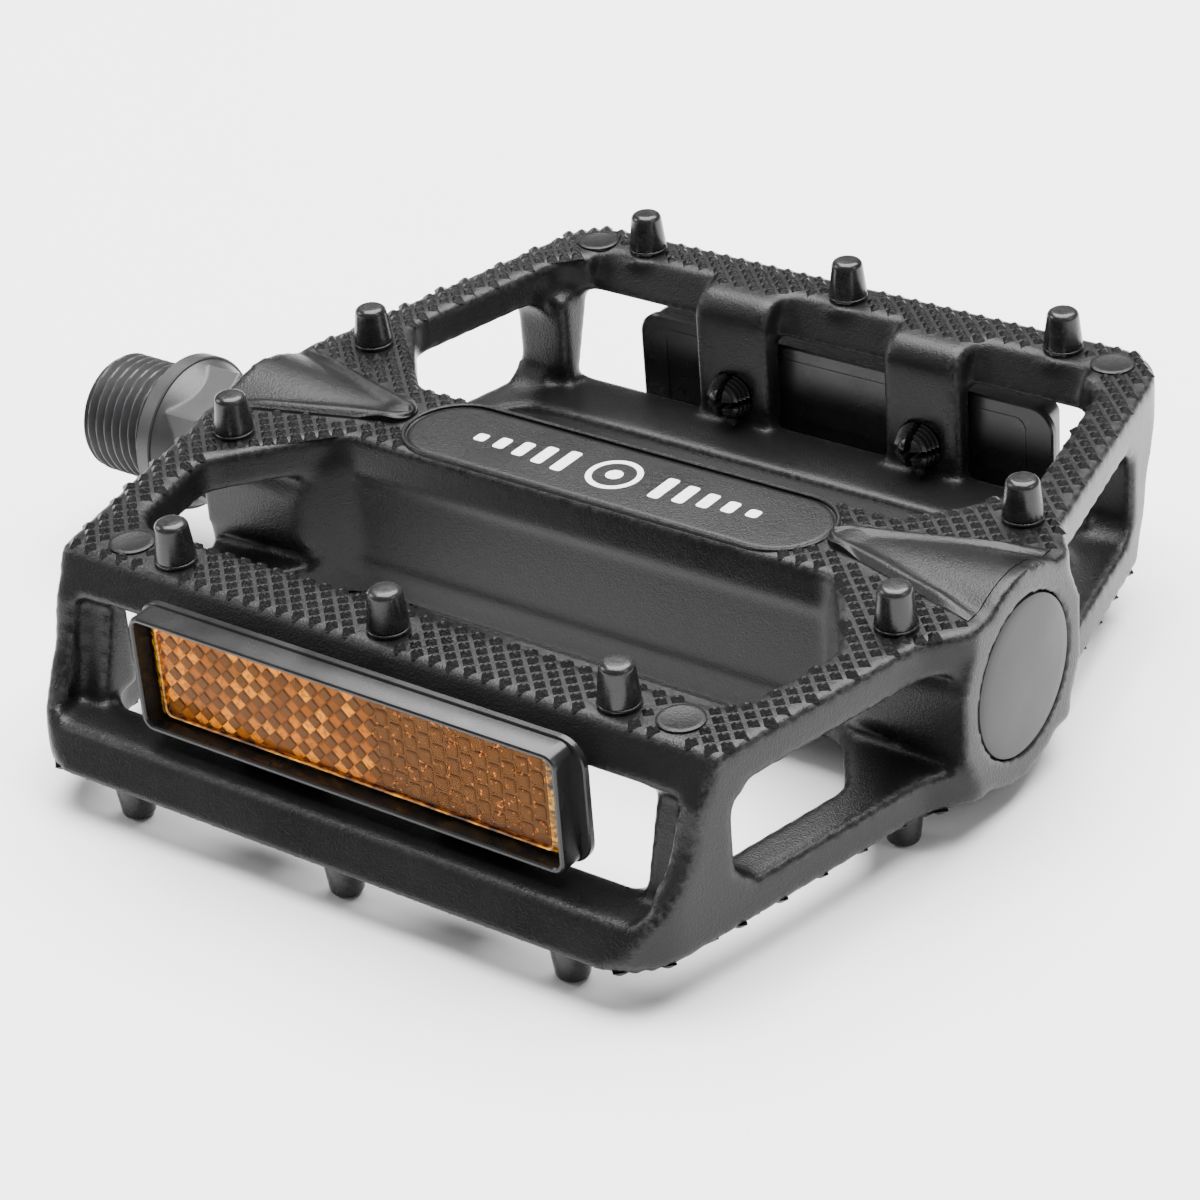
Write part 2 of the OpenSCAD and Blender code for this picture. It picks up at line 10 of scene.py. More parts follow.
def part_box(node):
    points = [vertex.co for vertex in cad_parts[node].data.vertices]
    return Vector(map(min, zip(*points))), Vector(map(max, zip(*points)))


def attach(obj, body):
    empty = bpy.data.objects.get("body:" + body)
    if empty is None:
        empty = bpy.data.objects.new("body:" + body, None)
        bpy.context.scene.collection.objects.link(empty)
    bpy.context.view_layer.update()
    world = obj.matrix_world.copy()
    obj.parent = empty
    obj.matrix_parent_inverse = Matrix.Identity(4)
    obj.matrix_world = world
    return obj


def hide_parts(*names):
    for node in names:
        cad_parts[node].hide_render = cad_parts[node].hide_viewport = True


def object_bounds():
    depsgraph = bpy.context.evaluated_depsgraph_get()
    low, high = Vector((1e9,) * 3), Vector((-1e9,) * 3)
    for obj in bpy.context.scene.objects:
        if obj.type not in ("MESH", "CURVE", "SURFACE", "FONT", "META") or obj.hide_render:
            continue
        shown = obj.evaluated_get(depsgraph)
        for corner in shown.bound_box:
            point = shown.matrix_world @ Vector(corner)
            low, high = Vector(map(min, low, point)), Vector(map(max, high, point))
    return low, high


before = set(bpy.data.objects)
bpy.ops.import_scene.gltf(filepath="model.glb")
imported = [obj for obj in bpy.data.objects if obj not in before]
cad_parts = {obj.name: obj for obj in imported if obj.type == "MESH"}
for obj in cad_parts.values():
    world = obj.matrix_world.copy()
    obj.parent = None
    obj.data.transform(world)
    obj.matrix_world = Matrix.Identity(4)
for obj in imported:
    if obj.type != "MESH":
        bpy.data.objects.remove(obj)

MM = 0.001
CAD_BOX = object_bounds()

# ---- Places and sizes, in millimetres, read from the frame ----


def box_mm(node):
    low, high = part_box(node)
    return Vector(low) / MM, Vector(high) / MM


BODY_LOW, BODY_HIGH = box_mm("body")
MID_X = (BODY_LOW.x + BODY_HIGH.x) / 2
HALF_L = (BODY_HIGH.x - BODY_LOW.x) / 2
HALF_W = BODY_HIGH.y
PIN_HEIGHT = 4.9
FACE_Z = box_mm("pins_top_front")[1].z - PIN_HEIGHT
FRAME_SHIFT = MID_X - sum(c.x for c in box_mm("pins_top_front")) / 2
CAP_LOW, CAP_HIGH = box_mm("dust_cap")
CAP_RADIUS = CAP_HIGH.y


def pin_places(node):
    """Radius and places of a node's pins: three in a row along X, or a pair across it."""
    low, high = box_mm(node)
    radius = min(high.x - low.x, high.y - low.y) / 2
    if high.x - low.x > high.y - low.y:
        middle, step = (low.y + high.y) / 2, (high.x - low.x) / 2 - radius
        return radius, [((low.x + high.x) / 2 + i * step, middle) for i in (-1, 0, 1)]
    middle = (low.x + high.x) / 2
    return radius, [(middle, low.y + radius), (middle, high.y - radius)]


# ---- Mesh helpers ----


def make_object(name, points, faces, materials, smooth_angle=32):
    """A mesh object from points in millimetres, with its sharp edges kept."""
    mesh = bpy.data.meshes.new(name)
    mesh.from_pydata([Vector(p) * MM for p in points], [], faces)
    mesh.validate()
    work = bmesh.new()
    work.from_mesh(mesh)
    bmesh.ops.recalc_face_normals(work, faces=work.faces)
    for edge in work.edges:
        edge.smooth = edge.calc_face_angle(0) < math.radians(smooth_angle)
    for face in work.faces:
        face.smooth = True
    work.to_mesh(mesh)
    work.free()
    for material in materials:
        mesh.materials.append(material)
    piece = bpy.data.objects.new(name, mesh)
    bpy.context.scene.collection.objects.link(piece)
    return piece


def grid_faces(rows, columns, start=0, wrap=True):
    """Quads that join rows of points, each row closed on itself when wrap is set."""
    faces = []
    for r in range(rows - 1):
        for c in range(columns if wrap else columns - 1):
            d = (c + 1) % columns
            faces.append((start + r * columns + c, start + r * columns + d,
                          start + (r + 1) * columns + d, start + (r + 1) * columns + c))
    return faces


class Shape:
    """Gathers points and faces of several lofts into one mesh."""

    def __init__(self):
        self.points, self.faces = [], []

    def loft(self, loops, cap_start=True, cap_end=True):
        start, count = len(self.points), len(loops[0])
        for loop in loops:
            self.points.extend(Vector(p) for p in loop)
        self.faces.extend(grid_faces(len(loops), count, start))
        if cap_start:
            self.faces.append(tuple(range(start, start + count))[::-1])
        if cap_end:
            last = start + (len(loops) - 1) * count
            self.faces.append(tuple(range(last, last + count)))

    def build(self, name, *materials, smooth_angle=32):
        return make_object(name, self.points, self.faces, materials, smooth_angle)


def circle_loop(radius, count, place):
    """A ring of points, each put in space by place(across, up)."""
    return [place(radius * math.cos(2 * math.pi * i / count), radius * math.sin(2 * math.pi * i / count))
            for i in range(count)]


def rounded_rect_loop(width, height, radius, steps, place):
    """A rounded rectangle's points, each put in space by place(across, up)."""
    loop = []
    for corner, (sx, sy) in enumerate([(1, 1), (-1, 1), (-1, -1), (1, -1)]):
        for i in range(steps + 1):
            angle = math.pi / 2 * (corner + i / steps)
            loop.append(place(sx * (width / 2 - radius) + radius * math.cos(angle),
                              sy * (height / 2 - radius) + radius * math.sin(angle)))
    return loop


# ---- Material helpers ----


class Nodes:
    """A short way to build one material's node tree."""

    def __init__(self, name):
        self.material = bpy.data.materials.new(name)
        self.material.use_nodes = True
        self.tree = self.material.node_tree
        self.shader = self.tree.nodes["Principled BSDF"]
        self.where = self.add("ShaderNodeTexCoord").outputs["Object"]

    def add(self, kind, **inputs):
        node = self.tree.nodes.new(kind)
        for key, value in inputs.items():
            self.put(node.inputs[key.replace("_", " ")], value)
        return node

    def put(self, socket, value):
        if isinstance(value, bpy.types.NodeSocket):
            self.tree.links.new(value, socket)
        else:
            socket.default_value = value

    def set(self, **inputs):
        for key, value in inputs.items():
            self.put(self.shader.inputs[key.replace("_", " ")], value)

    def noise(self, size_mm, detail=3.0, roughness=0.5, where=None):
        node = self.add("ShaderNodeTexNoise", Scale=1 / (size_mm * MM), Detail=detail, Roughness=roughness)
        self.put(node.inputs["Vector"], where or self.where)
        return node.outputs["Fac"]

    def math(self, operation, a, b=0.0, c=0.0):
        node = self.tree.nodes.new("ShaderNodeMath")
        node.operation = operation
        for socket, value in zip(node.inputs, (a, b, c)):
            self.put(socket, value)
        return node.outputs[0]

    def ramp(self, factor, stops):
        node = self.tree.nodes.new("ShaderNodeValToRGB")
        self.put(node.inputs["Fac"], factor)
        elements = node.color_ramp.elements
        while len(elements) < len(stops):
            elements.new(0.5)
        for element, (position, colour) in zip(elements, stops):
            element.position = position
            grey = isinstance(colour, (int, float))
            element.color = (colour, colour, colour, 1) if grey else (*colour, 1)
        return node.outputs["Color"]

    def mix(self, factor, a, b):
        node = self.tree.nodes.new("ShaderNodeMix")
        node.data_type = "RGBA"
        for index, value in ((0, factor), (6, a), (7, b)):
            socket = node.inputs[index]
            if isinstance(value, tuple) and len(value) == 3:
                value = (*value, 1)
            self.put(socket, value)
        return node.outputs[2]

    def split(self):
        node = self.add("ShaderNodeSeparateXYZ")
        self.put(node.inputs[0], self.where)
        return node.outputs

    def bump(self, height, depth_mm, strength=1.0):
        node = self.tree.nodes.new("ShaderNodeBump")
        node.inputs["Strength"].default_value = strength
        node.inputs["Distance"].default_value = depth_mm * MM
        self.put(node.inputs["Height"], height)
        self.put(self.shader.inputs["Normal"], node.outputs["Normal"])


# ---- Materials ----


def cast_paint(name, shade=0.006, grain=0.055):
    """Satin black paint over a cast surface, rubbed lighter on its edges."""
    n = Nodes(name)
    cloud = n.noise(9, 4, 0.6)
    speck = n.noise(0.7, 3, 0.7)
    fine = n.noise(0.22, 2, 0.6)
    base = n.ramp(cloud, [(0.3, shade * 0.85), (0.7, shade * 1.2)])
    wear = n.tree.nodes.new("ShaderNodeAttribute")
    wear.attribute_name = "wear"
    rubbed = n.math("MULTIPLY", wear.outputs["Fac"], n.ramp(speck, [(0.4, 0.0), (0.8, 0.5)]))
    n.set(Base_Color=n.mix(rubbed, base, (0.07, 0.07, 0.073)))
    n.set(Roughness=n.ramp(cloud, [(0.25, 0.25), (0.75, 0.35)]))
    n.set(Metallic=0.0, IOR=1.3)
    height = n.math("MULTIPLY_ADD", speck, 0.5, fine)
    n.bump(height, grain)
    return n.material


def gloss_paint(name):
    n = Nodes(name)
    cloud = n.noise(1.6, 3, 0.6)
    n.set(Base_Color=n.ramp(cloud, [(0.3, 0.008), (0.75, 0.016)]))
    n.set(Roughness=n.ramp(cloud, [(0.3, 0.2), (0.8, 0.34)]), IOR=1.42)
    n.bump(cloud, 0.03)
    return n.material


def blackened_steel(name):
    n = Nodes(name)
    cloud = n.noise(5, 4, 0.6)
    fine = n.noise(0.3, 2, 0.5)
    n.set(Base_Color=n.ramp(cloud, [(0.3, (0.022, 0.0215, 0.0225)), (0.75, (0.036, 0.035, 0.037))]))
    n.set(Metallic=0.2, Roughness=n.ramp(fine, [(0.3, 0.36), (0.7, 0.48)]), IOR=1.5)
    n.bump(fine, 0.008)
    return n.material


def ground_steel(name):
    n = Nodes(name)
    stretched = n.add("ShaderNodeMapping")
    n.put(stretched.inputs["Vector"], n.where)
    stretched.inputs["Scale"].default_value = (1, 9, 9)
    lines = n.noise(0.8, 3, 0.6, stretched.outputs["Vector"])
    n.set(Base_Color=n.ramp(lines, [(0.3, (0.48, 0.48, 0.5)), (0.7, (0.62, 0.62, 0.64))]))
    n.set(Metallic=1.0, Roughness=n.ramp(lines, [(0.3, 0.2), (0.7, 0.34)]))
    n.bump(lines, 0.006)
    return n.material


def rubber(name):
    n = Nodes(name)
    grain = n.noise(0.25, 3, 0.6)
    n.set(Base_Color=n.ramp(grain, [(0.3, 0.018), (0.7, 0.03)]))
    n.set(Roughness=n.ramp(grain, [(0.3, 0.6), (0.7, 0.78)]))
    n.bump(grain, 0.02)
    return n.material


def moulded_plastic(name, shade, low, high, grain=0.012):
    n = Nodes(name)
    cloud = n.noise(6, 3, 0.5)
    fine = n.noise(0.2, 2, 0.6)
    n.set(Base_Color=n.ramp(cloud, [(0.3, shade * 0.9), (0.7, shade * 1.15)]))
    n.set(Roughness=n.ramp(cloud, [(0.3, low), (0.7, high)]), IOR=1.4)
    n.bump(fine, grain)
    return n.material


def white_ink(name):
    n = Nodes(name)
    patches = n.noise(0.5, 3, 0.7)
    n.set(Base_Color=n.ramp(patches, [(0.25, 0.42), (0.45, 0.78)]))
    n.set(Roughness=n.ramp(patches, [(0.3, 0.4), (0.7, 0.55)]))
    n.bump(patches, 0.01)
    return n.material


CELL = 1.33
COLUMN, ROW = 1.75, 1.9
BRIGHT_SHARE = 0.56


def prism_amber(name, middle_x, middle_z, length, way):
    """Amber prisms with painted reflections: painted bright diamonds of reflected light over most of the
    length, dull rounded cells with painted glints over the rest.
    """
    n = Nodes(name)
    x, _, z = n.split()
    across = n.math("MULTIPLY", n.math("SUBTRACT", x, middle_x * MM), way / MM)
    up = n.math("MULTIPLY", n.math("SUBTRACT", z, middle_z * MM), 1 / MM)
    diagonal = 1 / (CELL * math.sqrt(2))
    column = n.math("FLOOR", n.math("MULTIPLY", n.math("ADD", across, up), diagonal))
    row = n.math("FLOOR", n.math("MULTIPLY", n.math("SUBTRACT", across, up), diagonal))
    odd = n.math("ABSOLUTE", n.math("MODULO", n.math("ADD", column, row), 2.0))
    cell = n.add("ShaderNodeCombineXYZ", X=column, Y=row)
    chance = n.add("ShaderNodeTexWhiteNoise")
    n.put(chance.inputs["Vector"], cell.outputs[0])
    # Painted reflection: each cell's brightness, from dark to bright amber, stands in for light sent back by
    # the prisms.
    light = n.ramp(chance.outputs["Value"], [(0.0, (0.1, 0.042, 0.0)), (0.45, (0.32, 0.16, 0.0)),
                                             (0.75, (0.7, 0.42, 0.0)), (1.0, (1.0, 0.7, 0.0))])
    facets = n.noise(0.5, 2, 0.6)
    # Painted shade: facet noise darkens parts of the painted bright cells.
    light = n.mix(n.ramp(facets, [(0.5, 0.0), (0.62, 0.6)]), light, (0.13, 0.045, 0.001))
    dull = n.mix(facets, (0.05, 0.027, 0.014), (0.085, 0.046, 0.024))
    diamonds = n.mix(odd, dull, light)
    # Painted glints: small bright orange flecks on the dull rounded cells.
    painted_glint = n.noise(0.55, 2, 0.7)
    cells = n.mix(n.ramp(painted_glint, [(0.63, 0.0), (0.7, 0.9)]), dull, (0.7, 0.32, 0.002))
    share = n.math("GREATER_THAN", across, length * (BRIGHT_SHARE - 0.5))
    n.set(Base_Color=n.mix(share, diamonds, cells))
    n.set(Roughness=n.ramp(facets, [(0.3, 0.16), (0.7, 0.26)]), IOR=1.3)
    n.bump(facets, 0.03)
    return n.material


def clear_amber(name):
    """Thin clear amber: its colour shows at the edges and little on the flat."""
    n = Nodes(name)
    tint = n.ramp(n.noise(3, 2, 0.5), [(0.3, (0.96, 0.78, 0.52)), (0.7, (1.0, 0.82, 0.56))])
    clear = n.add("ShaderNodeBsdfTransparent")
    n.put(clear.inputs["Color"], tint)
    gloss = n.add("ShaderNodeBsdfGlossy", Roughness=0.05)
    gloss.inputs["Color"].default_value = (1, 1, 1, 1)
    facing = n.add("ShaderNodeLayerWeight", Blend=0.3).outputs["Facing"]
    mixed = n.tree.nodes.new("ShaderNodeMixShader")
    n.put(mixed.inputs[0], n.math("MULTIPLY_ADD", facing, 0.02, 0.004))
    n.tree.links.new(clear.outputs[0], mixed.inputs[1])
    n.tree.links.new(gloss.outputs[0], mixed.inputs[2])
    n.tree.links.new(mixed.outputs[0], n.tree.nodes["Material Output"].inputs["Surface"])
    return n.material


def amber_edge(name):
    """The solid amber of the lens's bevelled border, streaked with painted light and shade: near-black to
    bright orange streaks stand in for the bevel's glow and shadow.
    """
    n = Nodes(name)
    streak = n.add("ShaderNodeMapping")
    n.put(streak.inputs["Vector"], n.where)
    streak.inputs["Scale"].default_value = (1, 3, 3)
    waves = n.noise(2.2, 4, 0.65, streak.outputs["Vector"])
    # Painted light and shade: dark and bright orange streaks in the colour stand in for the bevel's glow.
    n.set(Base_Color=n.ramp(waves, [(0.4, (0.02, 0.007, 0.001)), (0.52, (0.3, 0.11, 0.001)),
                                    (0.64, (0.85, 0.42, 0.002))]))
    n.set(Roughness=0.16, IOR=1.35)
    n.bump(waves, 0.02)
    return n.material


CAST = cast_paint("cast_paint")
PIN = gloss_paint("pin_gloss")
STEEL = blackened_steel("blackened_steel")
BRIGHT = ground_steel("ground_steel")
SEAL = rubber("seal_rubber")
CAP = moulded_plastic("cap_satin", 0.014, 0.42, 0.5)
HOUSING = moulded_plastic("housing_gloss", 0.008, 0.22, 0.32, 0.006)
INK = white_ink("white_ink")
COVER = clear_amber("clear_amber")
EDGE = amber_edge("amber_edge")


# ---- Body: the CAD solid remeshed, with cast fillets ----

VOXEL = 0.55
ROUNDING = 4
PLUG_R = 1.74
PLUG_L = 3.55
MOST_FACES = 190000


def smooth_casting(piece):
    """Rounds the edges like a casting's, and stores how rubbed each edge is."""
    mesh = piece.data
    count = len(mesh.vertices)
    points = np.empty(count * 3)
    mesh.vertices.foreach_get("co", points)
    points = points.reshape(-1, 3)
    edges = np.empty(len(mesh.edges) * 2, dtype=int)
    mesh.edges.foreach_get("vertices", edges)
    a, b = edges.reshape(-1, 2).T
    near = np.bincount(a, minlength=count) + np.bincount(b, minlength=count)
    along = np.abs(points[:, 0] / MM - MID_X)
    radius = np.hypot(points[:, 1], points[:, 2]) / MM
    crisp = (along > HALF_L - 3) & (radius < CAP_RADIUS + 0.9)
    weight = np.where(crisp, 0.08, 0.5)[:, None]

    def pull(at):
        total = np.stack([np.bincount(a, at[b, k], count) + np.bincount(b, at[a, k], count)
                          for k in range(3)], 1)
        return total / near[:, None] - at

    for _ in range(ROUNDING):
        points = points + weight * pull(points)
    mesh.vertices.foreach_set("co", points.ravel())
    mesh.update()
    normals = np.empty(count * 3)
    mesh.vertices.foreach_get("normal", normals)
    convex = -np.sum(pull(points) * normals.reshape(-1, 3), axis=1)
    for _ in range(2):
        around = (np.bincount(a, convex[b], count) + np.bincount(b, convex[a], count)) / near
        convex = 0.5 * convex + 0.5 * around
    wear = np.clip((convex / MM - 0.012) / 0.03, 0, 1)
    mesh.attributes.new("wear", "FLOAT", "POINT").data.foreach_set("value", wear)


def plug_pin_holes(mesh):
    """Closes the body's pin holes, which their pins fill, so that the remesh leaves no pits."""
    work = bmesh.new()
    work.from_mesh(mesh)
    for side, face in ((1, "top"), (-1, "bottom")):
        for group in ("front", "back", "inboard", "outboard"):
            for x, y in pin_places(f"pins_{face}_{group}")[1]:
                place = Matrix.Translation(Vector((x, y, side * (FACE_Z - PLUG_L / 2 - 0.1))) * MM)
                bmesh.ops.create_cone(work, cap_ends=True, segments=32, radius1=PLUG_R * MM,
                                      radius2=PLUG_R * MM, depth=PLUG_L * MM, matrix=place)
    work.to_mesh(mesh)
    work.free()


def make_body():
    """The CAD body with its pin holes plugged, remeshed and smoothed so that its edges are round."""
    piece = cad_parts["body"].copy()
    piece.data = piece.data.copy()
    plug_pin_holes(piece.data)
    piece.name = "cast_body"
    bpy.context.scene.collection.objects.link(piece)
    bpy.context.view_layer.objects.active = piece
    remesh = piece.modifiers.new("voxels", "REMESH")
    remesh.mode = "VOXEL"
    remesh.voxel_size = VOXEL * MM
    bpy.ops.object.modifier_apply(modifier=remesh.name)
    smooth_casting(piece)
    thin = piece.modifiers.new("thin", "DECIMATE")
    thin.ratio = min(1, MOST_FACES / (2 * len(piece.data.polygons)))
    bpy.ops.object.modifier_apply(modifier=thin.name)
    piece.data.materials.clear()
    piece.data.materials.append(CAST)
    for face in piece.data.polygons:
        face.use_smooth = True
    return piece


def cad_tree():
    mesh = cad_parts["body"].data
    return BVHTree.FromPolygons([v.co / MM for v in mesh.vertices],
                                [tuple(p.vertices) for p in mesh.polygons])


TREE = cad_tree()


def on_face(x, y):
    """Whether the CAD body's top plane lies under a point given from the platform's middle."""
    hit = TREE.ray_cast(Vector((MID_X + x, y, FACE_Z + 5)), Vector((0, 0, -1)))
    return hit[0] is not None and abs(hit[0].z - FACE_Z) < 0.02


# ---- Pins ----


def pin_profile(foot):
    """Radius and height of a pin from under the platform's face to its crown."""
    tip = foot * 0.82
    crown = [(tip - 0.75 * (1 - math.cos(t)), PIN_HEIGHT - 0.75 + 0.75 * math.sin(t))
             for t in (math.pi / 2 * i / 6 for i in range(7))]
    ring = [(foot - 0.1, -0.6), (foot - 0.1, 0.22), (foot + 0.02, 0.27), (foot + 0.05, 0.4),
            (foot - 0.02, 0.5)]
    groove = [(foot - 0.12, 0.54), (foot - 0.12, 0.64), (foot - 0.02, 0.7), (foot - 0.05, 1.2)]
    return ring + groove + crown + [(0.35, PIN_HEIGHT)]


def make_pins(node, side):
    foot, places = pin_places(node)
    shape = Shape()
    for px, py in places:
        loops = [circle_loop(r, 40, lambda u, v, h=h: (px + u, py + side * v, side * (FACE_Z + h)))
                 for r, h in pin_profile(foot)]
        shape.loft(loops)
    piece = shape.build("pins_" + node.split("pins_")[1], PIN, smooth_angle=50)
    finish_piece(piece, "platform", "pin_paint", node)


def finish_piece(piece, body, slot, *nodes):
    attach(piece, body)
    if nodes:
        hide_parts(*nodes)


# ---- Knurled faces, ejector marks and panel ----

KNURL = 1.57
KNURL_HEIGHT = 0.45
MARK_RADIUS = 2.5
MARK_X = 35.6
MARK_FROM_FRONT, MARK_FROM_BACK = 15.4, 4.9
MARKS = [(sx * MARK_X - FRAME_SHIFT, y)
         for sx in (-1, 1) for y in (MARK_FROM_FRONT - HALF_W, HALF_W - MARK_FROM_BACK)]


def pins_from_middle():
    places = []
    for group in ("front", "back", "inboard", "outboard"):
        places += [(x - MID_X, y) for x, y in pin_places("pins_top_" + group)[1]]
    return places


def make_knurl(side):
    """Small square pyramids on a diagonal grid, wherever the flat face can hold one."""
    pins = pins_from_middle()
    shape = Shape()
    reach = int((HALF_L + HALF_W) / KNURL) + 1
    root = math.sqrt(0.5)
    half = KNURL * root
    for i in range(-reach, reach):
        for j in range(-reach, reach):
            x, y = (i + j) * KNURL * root, (i - j) * KNURL * root
            if abs(x) > HALF_L or abs(y) > HALF_W:
                continue
            if any(math.hypot(x - px, y - py) < 2.75 for px, py in pins):
                continue
            if any(math.hypot(x - mx, y - my) < MARK_RADIUS + 0.45 for mx, my in MARKS):
                continue
            if FAIRING_TIP - FAIRING_TIP_W < abs(x) and abs(y) < fairing_width(abs(x)) + 0.5:
                continue
            corners = [(x + half, y), (x, y + half), (x - half, y), (x, y - half)]
            tests = [(x + 0.72 * (u - x), y + 0.72 * (v - y)) for u, v in corners]
            if not all(on_face(u, v) for u, v in tests):
                continue
            bottom = [(MID_X + u, side * v, side * (FACE_Z - 0.25)) for u, v in corners]
            top = [(MID_X + x + 0.22 * (u - x), side * (y + 0.22 * (v - y)), side * (FACE_Z + KNURL_HEIGHT))
                   for u, v in corners]
            shape.loft([bottom, top])
    return shape.build("knurl_top" if side > 0 else "knurl_bottom", CAST, smooth_angle=20)


def make_marks(side):
    """Low round ejector marks on one face, two rows of two."""
    shape = Shape()
    for mx, my in MARKS:
        profile = [(MARK_RADIUS, -0.15), (MARK_RADIUS, 0.2), (MARK_RADIUS - 0.2, 0.3),
                   (MARK_RADIUS - 0.5, 0.3), (MARK_RADIUS - 0.7, 0.26)]

        def place(u, v, h):
            return (MID_X + mx + u, side * (my + v), side * (FACE_Z + h))

        shape.loft([circle_loop(r, 40, lambda u, v, h=h: place(u, v, h)) for r, h in profile])
    return shape.build("ejector_marks_top" if side > 0 else "ejector_marks_bottom", CAST)


PANEL_L, PANEL_W = 54.4, 11.4


def stadium_loop(length, width, height, side, steps=16):
    loop = []
    for end, start in ((1, -0.5), (-1, 0.5)):
        for i in range(steps + 1):
            angle = math.pi * (start + i / steps)
            loop.append((MID_X + end * (length - width) / 2 + width / 2 * math.cos(angle),
                         side * width / 2 * math.sin(angle), side * height))
    return loop


def make_panel(side):
    """The spar's sunk panel, with a bead around it."""
    shape = Shape()

    def loops(rows):
        return [stadium_loop(PANEL_L - 2 * inset, PANEL_W - 2 * inset, FACE_Z + h, side) for inset, h in rows]

    shape.loft(loops([(0.0, -0.8), (0.0, -0.2), (0.25, -0.08), (0.6, -0.06)]))
    bead = [(-0.15, -0.3), (-0.15, 0.1), (-0.3, 0.2), (-0.5, 0.2), (-0.65, 0.1), (-0.65, -0.3)]
    shape.loft(loops(bead), False, False)
    return shape.build("panel_top" if side > 0 else "panel_bottom", CAST)


def make_print(side):
    """Generic white decoration: a ring with a dot, between rows of short bars."""
    shape = Shape()
    low, high = FACE_Z - 0.07, FACE_Z - 0.03

    def ring(radius, inner):
        place = lambda r, h: circle_loop(r, 48, lambda u, v: (MID_X + u, side * v, side * h))
        section = [(inner, high), (radius, high), (radius, low), (inner, low), (inner, high)]
        shape.loft([place(r, h) for r, h in section], False, False)

    ring(3.2, 2.5)
    shape.loft([circle_loop(1.0, 32, lambda u, v, h=h: (MID_X + u, side * v, side * h)) for h in (low, high)])
    for end in (-1, 1):
        for i in range(5):
            centre, tall = end * (6.5 + 2.9 * i), 4.6 - 0.75 * i
            middle = MID_X + centre
            shape.loft([rounded_rect_loop(1.5, tall, 0.4, 4,
                                          lambda u, v, h=h: (middle + u, side * v, side * h))
                        for h in (low, high)])
    return shape.build("panel_print_top" if side > 0 else "panel_print_bottom", INK)


FAIRING_TIP, FAIRING_END = HALF_L - 20.6, HALF_L - 1.6
FAIRING_TIP_W, FAIRING_END_W = 2.4, 8.2
GUTTER_IN, GUTTER_WIDTH, GUTTER_RISE = 0.9, 0.8, 0.8
CONE_TIP = HALF_L - 24.8
HUB_R = BODY_HIGH.z


def fairing_width(x):
    """Half-width of a hub's fairing, which starts with a round tip."""
    if x < FAIRING_TIP:
        return math.sqrt(max(0.0, FAIRING_TIP_W ** 2 - (FAIRING_TIP - x) ** 2))
    return FAIRING_TIP_W + (FAIRING_END_W - FAIRING_TIP_W) * (x - FAIRING_TIP) / (FAIRING_END - FAIRING_TIP)


def fairing_height(x, y, width):
    """The hub's cone, with a raised gutter edge that fades at the hub's face."""
    cone_r = FACE_Z + (HUB_R - FACE_Z) * max(0, x - CONE_TIP) / (HALF_L - CONE_TIP)
    cone = math.sqrt(cone_r ** 2 - y ** 2) + 0.08
    fade = min(1, (FAIRING_END - x) / 5 + 0.1)
    gutter = GUTTER_RISE * fade * math.exp(-((abs(y) - width + GUTTER_IN) / GUTTER_WIDTH) ** 2)
    tip = 0.75 * math.exp(-((x - FAIRING_TIP) / 2.6) ** 2)
    return max(FACE_Z + 0.08 + max(gutter, tip), cone + gutter * 0.6)


def make_fairings(side):
    """Smooth fairings that run from the hub's faces down to a round tip beside the panel."""
    shape = Shape()
    first = FAIRING_TIP - FAIRING_TIP_W + 0.02
    stations = [first + (FAIRING_END - first) * (i / 40) ** 1.5 for i in range(41)]
    for end in (-1, 1):
        loops = []
        for x in stations:
            width = fairing_width(x)
            across = [width * math.sin(math.pi / 2 * t / 14) for t in range(-14, 15)]
            top = [(y, fairing_height(x, y, width)) for y in across]
            bottom = [(width * 1.04, FACE_Z - 0.5), (-width * 1.04, FACE_Z - 0.5)]
            loops.append([(MID_X + end * x, side * y, side * z) for y, z in top + bottom])
        shape.loft(loops)
    return shape.build("fairings_top" if side > 0 else "fairings_bottom", CAST, smooth_angle=50)


# ---- Spindle with its helical thread, wrench flats and bearing track ----

SPINDLE_LOW, SPINDLE_HIGH = box_mm("spindle")
THREAD_R = 7.145
PITCH = 1.27
THREAD_DEPTH = 0.72
COLLAR_R = SPINDLE_HIGH.y
COLLAR_L = 2.0
WRENCH_AF = 15.0
WRENCH_END = 8.6
WRENCH_TURN = math.radians(17)
NECK_R, FLANGE_R, SHAFT_R, CONE_THREAD_R = 6.0, 7.5, 4.8, 3.5
BALL_PITCH_R = 6.6


def thread_radius(x, angle):
    phase = (x / PITCH - angle / (2 * math.pi)) % 1
    wave = abs(2 * phase - 1)
    crest = min(1, max(0, (wave - 0.08) / 0.8))
    radius = THREAD_R - THREAD_DEPTH * (1 - crest)
    chamfer = THREAD_R - 1.0 + 1.1 * (x - SPINDLE_LOW.x)
    neck = THREAD_R - THREAD_DEPTH * 0.8
    fade = min(1, max(0, (x + 0.9) / 0.5))
    return min(radius * (1 - fade) + neck * fade, chamfer)


def wrench_radius(x, angle):
    turn = (angle - WRENCH_TURN) % (math.pi / 3) - math.pi / 6
    flats = WRENCH_AF / 2 / math.cos(turn)
    shoulder = COLLAR_R - 0.35 - 0.55 * (x - COLLAR_L)
    end = WRENCH_AF / 2 + 1.6 * (WRENCH_END - x) - 0.4
    return min(max(flats, shoulder), max(end, NECK_R))


